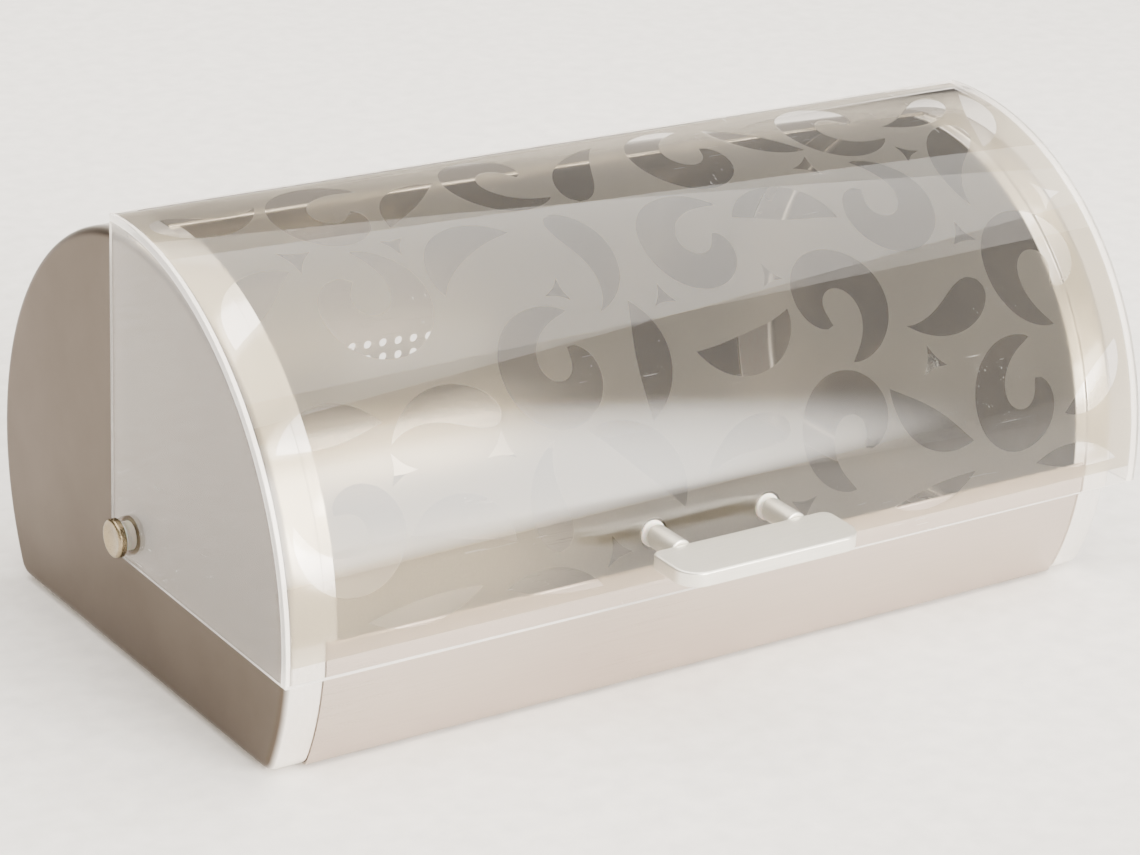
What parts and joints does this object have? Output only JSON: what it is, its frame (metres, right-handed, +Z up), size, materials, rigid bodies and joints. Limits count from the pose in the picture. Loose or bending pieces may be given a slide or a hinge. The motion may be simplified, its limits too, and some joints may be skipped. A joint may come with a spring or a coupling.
{
  "type": "roll-top bread box",
  "caption": "Curved steel bread box with a clear acrylic roll-top cover that swings up on side pivots, frosted scrollwork on the cover and a bar handle at its lower edge.",
  "frame": {"origin": "under the middle of the whole bread box, handle included, on the surface that its feet stand on", "axes": "+X along the box to the right seen from the front, -Y to the front where the handle is, +Z up"},
  "size_m": [0.4, 0.278, 0.1805],
  "materials": {
    "end_steel": "fine satin, warm grey-beige, pressed end panels",
    "panel_steel": "fine brushed along the length",
    "clear_acrylic": "clear polished acrylic sheet",
    "frosted_film": "frosted translucent film with clear scrollwork windows",
    "satin_aluminium": "satin silver",
    "champagne_nickel": "nickel-plated, warm champagne tone",
    "bright_steel": "bright plated fasteners",
    "nylon": "natural nylon",
    "foot_rubber": "soft black rubber"
  },
  "bodies": {
    "box": {"left_end_panel": "end_steel", "right_end_panel": "end_steel", "rear_shell": "panel_steel", "front_panel": "panel_steel", "floor_panel": "panel_steel", "foot_front_left": "foot_rubber", "foot_front_right": "foot_rubber", "foot_rear_left": "foot_rubber", "foot_rear_right": "foot_rubber", "left_pivot_screw": "champagne_nickel", "right_pivot_screw": "champagne_nickel", "left_outer_washer": "nylon", "right_outer_washer": "nylon", "left_spacer_bush": "nylon", "right_spacer_bush": "nylon", "left_inner_washer": "bright_steel", "right_inner_washer": "bright_steel", "left_cap_nut": "bright_steel", "right_cap_nut": "bright_steel"},
    "cover": {"cover_sheet": "clear_acrylic", "left_cover_side": "clear_acrylic", "right_cover_side": "clear_acrylic", "frosted_film": "frosted_film", "handle_plate": "satin_aluminium", "left_handle_post": "satin_aluminium", "right_handle_post": "satin_aluminium", "left_handle_screw": "bright_steel", "right_handle_screw": "bright_steel", "left_handle_washer": "nylon", "right_handle_washer": "nylon"}
  },
  "joints": [
    {"name": "cover_swing", "type": "hinge", "parent": "box", "child": "cover", "pos_m": [0, 0.02404, 0.0565], "axis": [-1, 0, 0], "range_deg": [0, 95]}
  ]
}
